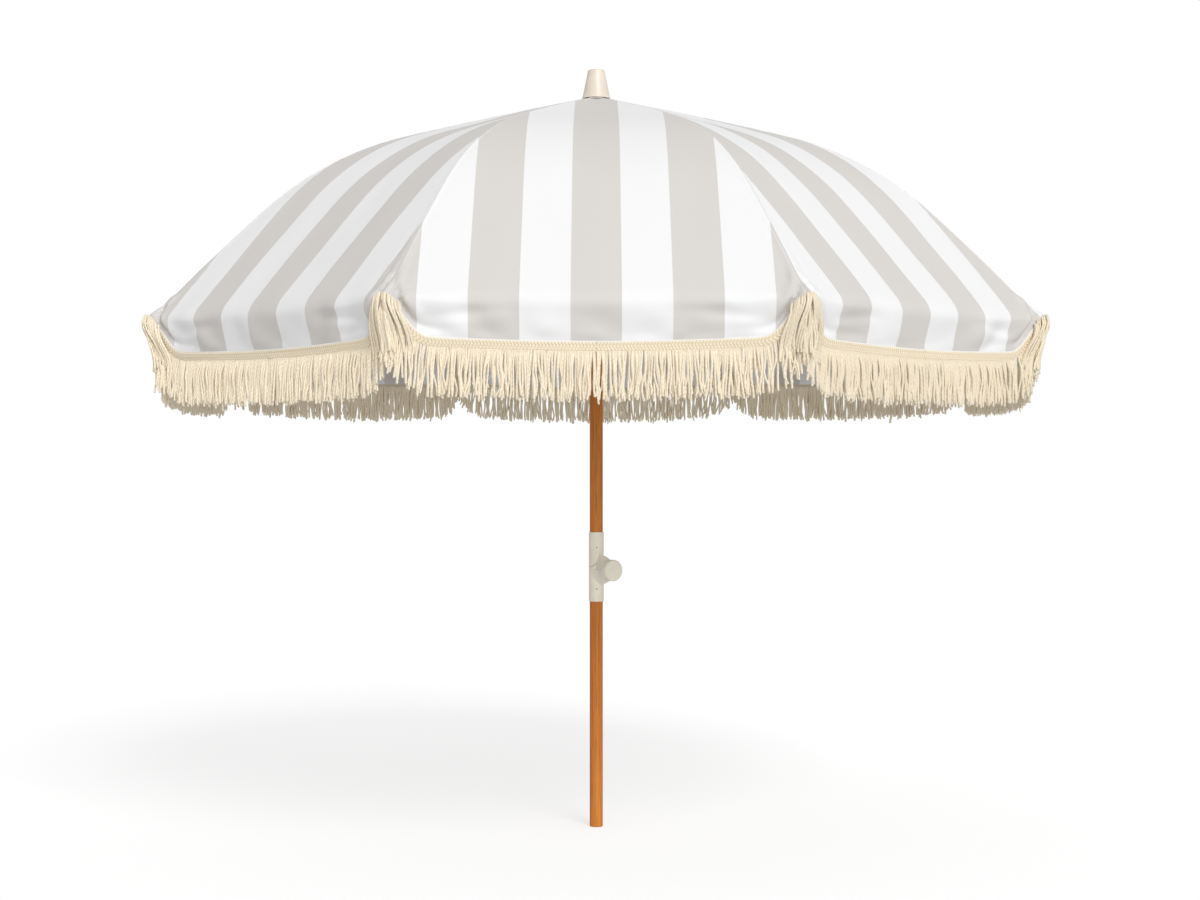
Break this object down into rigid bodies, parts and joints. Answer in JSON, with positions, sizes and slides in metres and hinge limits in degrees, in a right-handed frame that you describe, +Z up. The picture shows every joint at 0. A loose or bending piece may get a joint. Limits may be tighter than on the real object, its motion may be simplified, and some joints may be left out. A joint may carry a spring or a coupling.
{
  "type": "beach umbrella",
  "caption": "Beach umbrella with a striped cloth canopy, a fringed scalloped valance, folding ribs on a sliding runner, a wooden pole and a clamped tilt joint.",
  "frame": {"origin": "centre of the pole's flat bottom face", "axes": "+Z up along the pole; -Y is the front, squarely in front of one cloth panel; +X to the right seen from the front"},
  "size_m": [1.9876, 1.9876, 1.848],
  "materials": {
    "pole_wood": "satin",
    "joint_plastic": "satin",
    "finial_plastic": "satin",
    "hub_plastic": "matte",
    "fitting_plastic": "matte",
    "rib_metal": "satin",
    "steel": "satin",
    "brass_insert": "satin",
    "canopy_cloth": "matte",
    "patch_cloth": "matte",
    "fringe_cotton": "matte"
  },
  "bodies": {
    "lower": {"lower_pole": "pole_wood", "lower_sleeve": "joint_plastic", "lower_sleeve_pin": "steel", "tilt_bolt": "steel"},
    "knob": {"tilt_knob": "joint_plastic", "knob_insert": "brass_insert"},
    "upper": {"upper_pole": "pole_wood", "upper_sleeve": "joint_plastic", "upper_sleeve_pin": "steel", "crown": "hub_plastic", "crown_ring": "steel", "crown_pin": "steel", "finial": "finial_plastic", "finial_screw": "steel", "crown_patch": "patch_cloth"},
    "runner": {"runner": "hub_plastic"},
    "catch": {"runner_catch": "steel"},
    "rib_1": {"rib_1": "rib_metal", "rib_fitting_1": "fitting_plastic", "canopy_panel_1": "canopy_cloth"},
    "stretcher_1": {"stretcher_1": "rib_metal"},
    "valance_1": {"fringed_valance_1": "fringe_cotton"},
    "rib_2": {"rib_2": "rib_metal", "rib_fitting_2": "fitting_plastic", "canopy_panel_2": "canopy_cloth"},
    "stretcher_2": {"stretcher_2": "rib_metal"},
    "valance_2": {"fringed_valance_2": "fringe_cotton"},
    "rib_3": {"rib_3": "rib_metal", "rib_fitting_3": "fitting_plastic", "canopy_panel_3": "canopy_cloth"},
    "stretcher_3": {"stretcher_3": "rib_metal"},
    "valance_3": {"fringed_valance_3": "fringe_cotton"},
    "rib_4": {"rib_4": "rib_metal", "rib_fitting_4": "fitting_plastic", "canopy_panel_4": "canopy_cloth"},
    "stretcher_4": {"stretcher_4": "rib_metal"},
    "valance_4": {"fringed_valance_4": "fringe_cotton"},
    "rib_5": {"rib_5": "rib_metal", "rib_fitting_5": "fitting_plastic", "canopy_panel_5": "canopy_cloth"},
    "stretcher_5": {"stretcher_5": "rib_metal"},
    "valance_5": {"fringed_valance_5": "fringe_cotton"},
    "rib_6": {"rib_6": "rib_metal", "rib_fitting_6": "fitting_plastic", "canopy_panel_6": "canopy_cloth"},
    "stretcher_6": {"stretcher_6": "rib_metal"},
    "valance_6": {"fringed_valance_6": "fringe_cotton"},
    "rib_7": {"rib_7": "rib_metal", "rib_fitting_7": "fitting_plastic", "canopy_panel_7": "canopy_cloth"},
    "stretcher_7": {"stretcher_7": "rib_metal"},
    "valance_7": {"fringed_valance_7": "fringe_cotton"},
    "rib_8": {"rib_8": "rib_metal", "rib_fitting_8": "fitting_plastic", "canopy_panel_8": "canopy_cloth"},
    "stretcher_8": {"stretcher_8": "rib_metal"},
    "valance_8": {"fringed_valance_8": "fringe_cotton"}
  },
  "joints": [
    {"name": "tilt", "type": "hinge", "parent": "lower", "child": "upper", "pos_m": [0, 0, 0.628], "axis": [0.5736, -0.8192, 0], "range_deg": [-40, 40]},
    {"name": "knob_turn", "type": "hinge", "parent": "lower", "child": "knob", "pos_m": [0, 0, 0.628], "axis": [0.5736, -0.8192, 0], "range_deg": [0, 360]},
    {"name": "catch_press", "type": "slide", "parent": "upper", "child": "catch", "axis": [0, 1, 0], "range_m": [0, 0.0055], "stiffness_N_per_m": 800},
    {"name": "runner_slide", "type": "slide", "parent": "upper", "child": "runner", "axis": [0, 0, -1], "range_m": [0, 0.639], "deforming": ["runner_catch", "canopy_panel_1", "fringed_valance_1", "canopy_panel_2", "fringed_valance_2", "canopy_panel_3", "fringed_valance_3", "canopy_panel_4", "fringed_valance_4", "canopy_panel_5", "fringed_valance_5", "canopy_panel_6", "fringed_valance_6", "canopy_panel_7", "fringed_valance_7", "canopy_panel_8", "fringed_valance_8"]},
    {"name": "rib_1_fold", "type": "hinge", "parent": "upper", "child": "rib_1", "pos_m": [0.01339, -0.03234, 1.762], "axis": [0.9239, 0.3827, 0], "range_deg": [-0.01, 58.7]},
    {"name": "stretcher_1_fold", "type": "hinge", "parent": "rib_1", "child": "stretcher_1", "pos_m": [0.18258, -0.4408, 1.64126], "axis": [0.9239, 0.3827, 0], "range_deg": [-117.39, 0.01]},
    {"name": "valance_1_hang", "type": "hinge", "parent": "rib_1", "child": "valance_1", "pos_m": [0.40981, -0.98936, 1.21483], "axis": [0.9239, 0.3827, 0], "range_deg": [-58.7, 0.01]},
    {"name": "rib_2_fold", "type": "hinge", "parent": "upper", "child": "rib_2", "pos_m": [0.03234, -0.01339, 1.762], "axis": [0.3827, 0.9239, 0], "range_deg": [-0.01, 58.7]},
    {"name": "stretcher_2_fold", "type": "hinge", "parent": "rib_2", "child": "stretcher_2", "pos_m": [0.4408, -0.18258, 1.64126], "axis": [0.3827, 0.9239, 0], "range_deg": [-117.39, 0.01]},
    {"name": "valance_2_hang", "type": "hinge", "parent": "rib_2", "child": "valance_2", "pos_m": [0.98936, -0.40981, 1.21483], "axis": [0.3827, 0.9239, 0], "range_deg": [-58.7, 0.01]},
    {"name": "rib_3_fold", "type": "hinge", "parent": "upper", "child": "rib_3", "pos_m": [0.03234, 0.01339, 1.762], "axis": [-0.3827, 0.9239, 0], "range_deg": [-0.01, 58.7]},
    {"name": "stretcher_3_fold", "type": "hinge", "parent": "rib_3", "child": "stretcher_3", "pos_m": [0.4408, 0.18258, 1.64126], "axis": [-0.3827, 0.9239, 0], "range_deg": [-117.39, 0.01]},
    {"name": "valance_3_hang", "type": "hinge", "parent": "rib_3", "child": "valance_3", "pos_m": [0.98936, 0.40981, 1.21483], "axis": [-0.3827, 0.9239, 0], "range_deg": [-58.7, 0.01]},
    {"name": "rib_4_fold", "type": "hinge", "parent": "upper", "child": "rib_4", "pos_m": [0.01339, 0.03234, 1.762], "axis": [-0.9239, 0.3827, 0], "range_deg": [-0.01, 58.7]},
    {"name": "stretcher_4_fold", "type": "hinge", "parent": "rib_4", "child": "stretcher_4", "pos_m": [0.18258, 0.4408, 1.64126], "axis": [-0.9239, 0.3827, 0], "range_deg": [-117.39, 0.01]},
    {"name": "valance_4_hang", "type": "hinge", "parent": "rib_4", "child": "valance_4", "pos_m": [0.40981, 0.98936, 1.21483], "axis": [-0.9239, 0.3827, 0], "range_deg": [-58.7, 0.01]},
    {"name": "rib_5_fold", "type": "hinge", "parent": "upper", "child": "rib_5", "pos_m": [-0.01339, 0.03234, 1.762], "axis": [-0.9239, -0.3827, 0], "range_deg": [-0.01, 58.7]},
    {"name": "stretcher_5_fold", "type": "hinge", "parent": "rib_5", "child": "stretcher_5", "pos_m": [-0.18258, 0.4408, 1.64126], "axis": [-0.9239, -0.3827, 0], "range_deg": [-117.39, 0.01]},
    {"name": "valance_5_hang", "type": "hinge", "parent": "rib_5", "child": "valance_5", "pos_m": [-0.40981, 0.98936, 1.21483], "axis": [-0.9239, -0.3827, 0], "range_deg": [-58.7, 0.01]},
    {"name": "rib_6_fold", "type": "hinge", "parent": "upper", "child": "rib_6", "pos_m": [-0.03234, 0.01339, 1.762], "axis": [-0.3827, -0.9239, 0], "range_deg": [-0.01, 58.7]},
    {"name": "stretcher_6_fold", "type": "hinge", "parent": "rib_6", "child": "stretcher_6", "pos_m": [-0.4408, 0.18258, 1.64126], "axis": [-0.3827, -0.9239, 0], "range_deg": [-117.39, 0.01]},
    {"name": "valance_6_hang", "type": "hinge", "parent": "rib_6", "child": "valance_6", "pos_m": [-0.98936, 0.40981, 1.21483], "axis": [-0.3827, -0.9239, 0], "range_deg": [-58.7, 0.01]},
    {"name": "rib_7_fold", "type": "hinge", "parent": "upper", "child": "rib_7", "pos_m": [-0.03234, -0.01339, 1.762], "axis": [0.3827, -0.9239, 0], "range_deg": [-0.01, 58.7]},
    {"name": "stretcher_7_fold", "type": "hinge", "parent": "rib_7", "child": "stretcher_7", "pos_m": [-0.4408, -0.18258, 1.64126], "axis": [0.3827, -0.9239, 0], "range_deg": [-117.39, 0.01]},
    {"name": "valance_7_hang", "type": "hinge", "parent": "rib_7", "child": "valance_7", "pos_m": [-0.98936, -0.40981, 1.21483], "axis": [0.3827, -0.9239, 0], "range_deg": [-58.7, 0.01]},
    {"name": "rib_8_fold", "type": "hinge", "parent": "upper", "child": "rib_8", "pos_m": [-0.01339, -0.03234, 1.762], "axis": [0.9239, -0.3827, 0], "range_deg": [-0.01, 58.7]},
    {"name": "stretcher_8_fold", "type": "hinge", "parent": "rib_8", "child": "stretcher_8", "pos_m": [-0.18258, -0.4408, 1.64126], "axis": [0.9239, -0.3827, 0], "range_deg": [-117.39, 0.01]},
    {"name": "valance_8_hang", "type": "hinge", "parent": "rib_8", "child": "valance_8", "pos_m": [-0.40981, -0.98936, 1.21483], "axis": [0.9239, -0.3827, 0], "range_deg": [-58.7, 0.01]}
  ],
  "couplings": [
    {"joint": "rib_1_fold", "follows": "runner_slide", "rad_per_m": 1.6},
    {"joint": "stretcher_1_fold", "follows": "runner_slide", "rad_per_m": -3.2},
    {"joint": "valance_1_hang", "follows": "runner_slide", "rad_per_m": -1.6},
    {"joint": "rib_2_fold", "follows": "runner_slide", "rad_per_m": 1.6},
    {"joint": "stretcher_2_fold", "follows": "runner_slide", "rad_per_m": -3.2},
    {"joint": "valance_2_hang", "follows": "runner_slide", "rad_per_m": -1.6},
    {"joint": "rib_3_fold", "follows": "runner_slide", "rad_per_m": 1.6},
    {"joint": "stretcher_3_fold", "follows": "runner_slide", "rad_per_m": -3.2},
    {"joint": "valance_3_hang", "follows": "runner_slide", "rad_per_m": -1.6},
    {"joint": "rib_4_fold", "follows": "runner_slide", "rad_per_m": 1.6},
    {"joint": "stretcher_4_fold", "follows": "runner_slide", "rad_per_m": -3.2},
    {"joint": "valance_4_hang", "follows": "runner_slide", "rad_per_m": -1.6},
    {"joint": "rib_5_fold", "follows": "runner_slide", "rad_per_m": 1.6},
    {"joint": "stretcher_5_fold", "follows": "runner_slide", "rad_per_m": -3.2},
    {"joint": "valance_5_hang", "follows": "runner_slide", "rad_per_m": -1.6},
    {"joint": "rib_6_fold", "follows": "runner_slide", "rad_per_m": 1.6},
    {"joint": "stretcher_6_fold", "follows": "runner_slide", "rad_per_m": -3.2},
    {"joint": "valance_6_hang", "follows": "runner_slide", "rad_per_m": -1.6},
    {"joint": "rib_7_fold", "follows": "runner_slide", "rad_per_m": 1.6},
    {"joint": "stretcher_7_fold", "follows": "runner_slide", "rad_per_m": -3.2},
    {"joint": "valance_7_hang", "follows": "runner_slide", "rad_per_m": -1.6},
    {"joint": "rib_8_fold", "follows": "runner_slide", "rad_per_m": 1.6},
    {"joint": "stretcher_8_fold", "follows": "runner_slide", "rad_per_m": -3.2},
    {"joint": "valance_8_hang", "follows": "runner_slide", "rad_per_m": -1.6}
  ]
}
